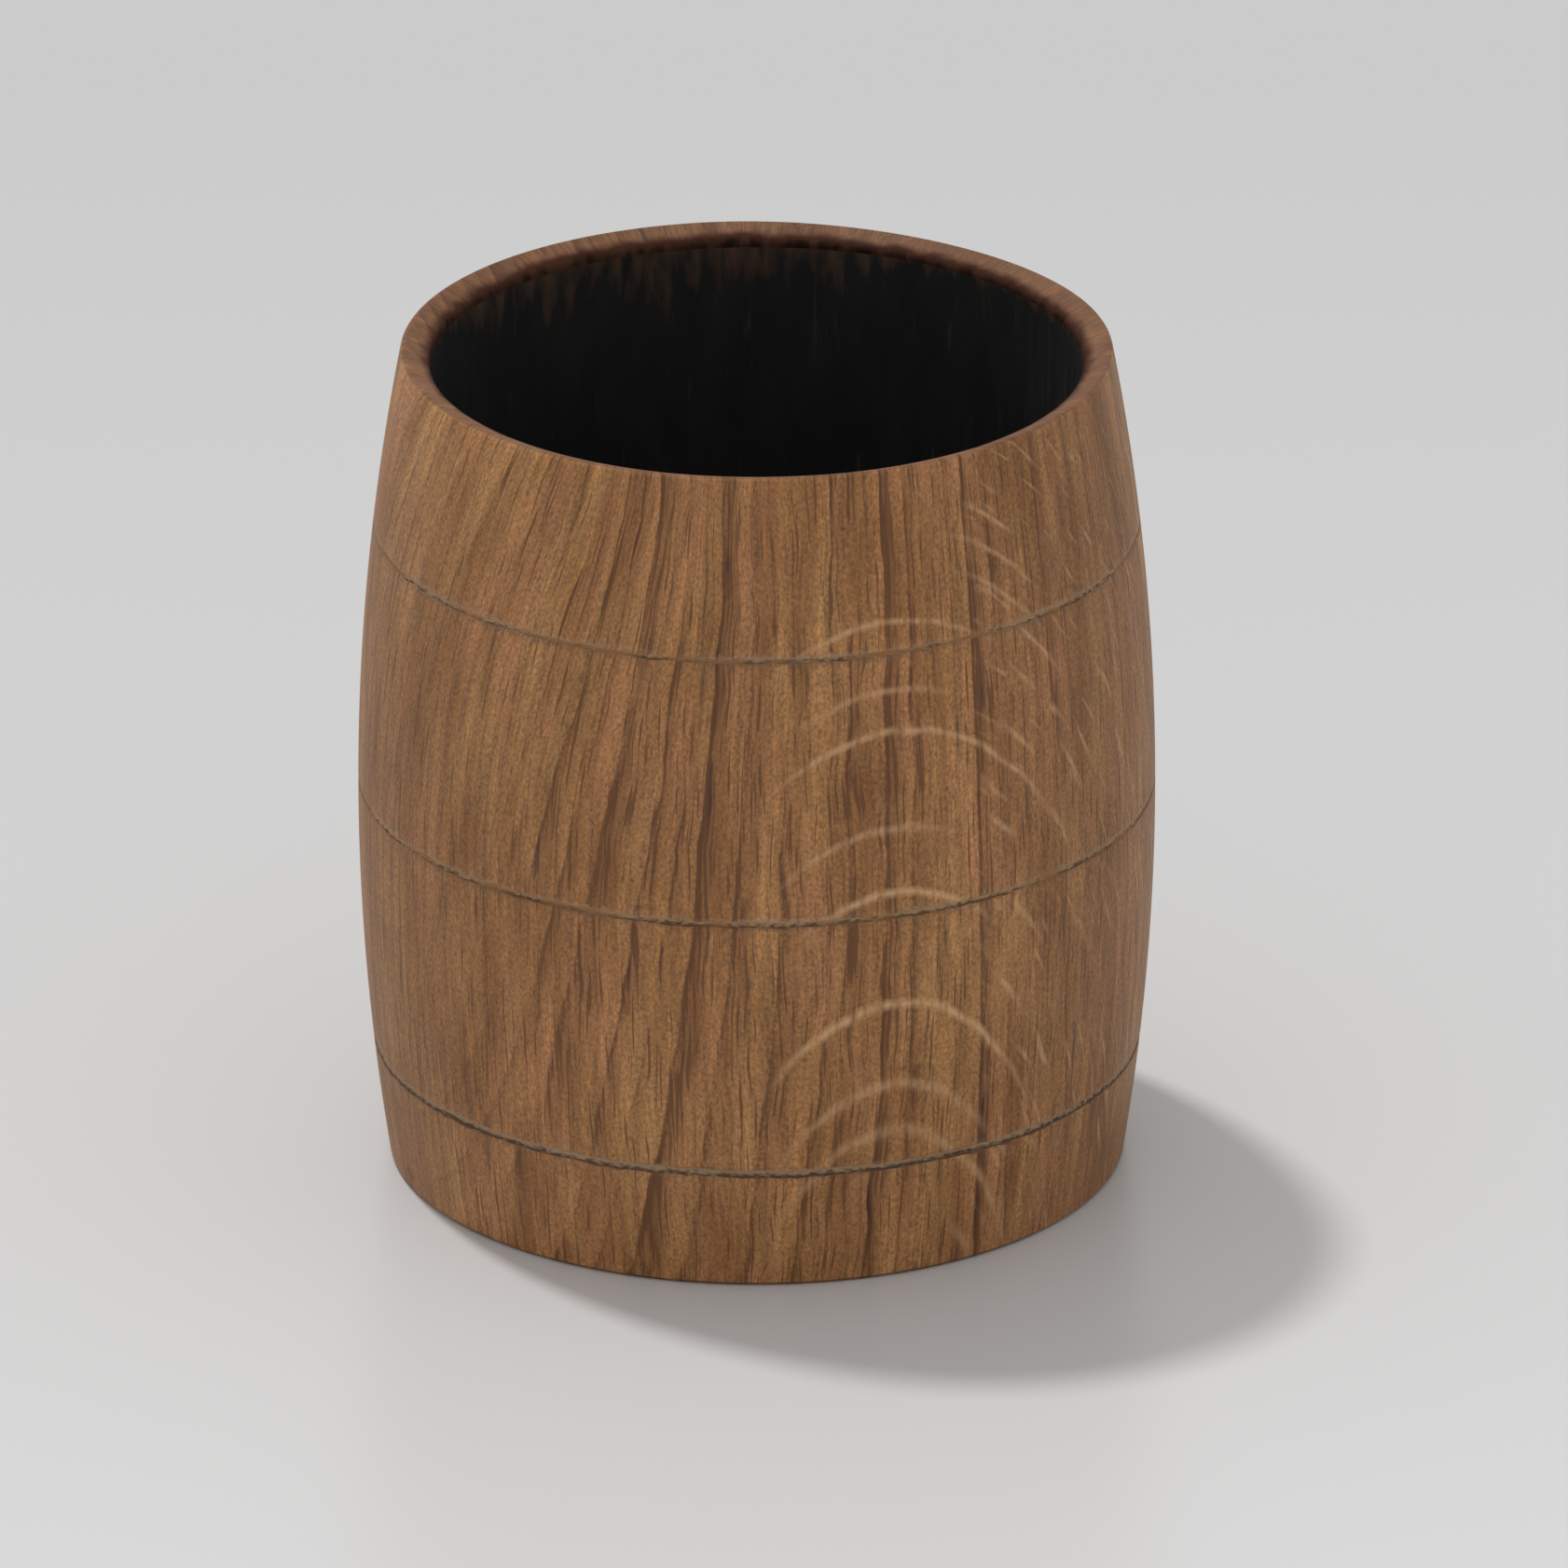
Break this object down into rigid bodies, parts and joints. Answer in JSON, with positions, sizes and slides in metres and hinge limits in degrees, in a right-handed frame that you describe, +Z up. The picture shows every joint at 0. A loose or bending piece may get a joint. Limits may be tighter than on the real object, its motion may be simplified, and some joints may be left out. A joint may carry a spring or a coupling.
{
  "type": "barrel-shaped wooden whisky cup",
  "caption": "Barrel-shaped drinking cup turned from oak, charred black inside, with a rounded lip, scorched hoop lines round the outside and a flat oak head seated in the foot.",
  "frame": {"origin": "on the table under the middle of the foot", "axes": "+Z up along the turning axis, towards the mouth; the picture is taken from the -Y side, with +X to its right"},
  "size_m": [0.08, 0.08, 0.0858],
  "materials": {
    "oak": "oiled, satin",
    "head_oak": "oiled, satin",
    "char": "charred, matt",
    "scorch": "scorched, matt",
    "pitch": "smooth, waxy"
  },
  "bodies": {
    "root": {"oak_wall": "oak", "bottom_head": "head_oak", "wall_char": "char", "floor_char": "char", "seal_bead": "pitch", "lower_scorch_line": "scorch", "middle_scorch_line": "scorch", "upper_scorch_line": "scorch"}
  },
  "joints": []
}
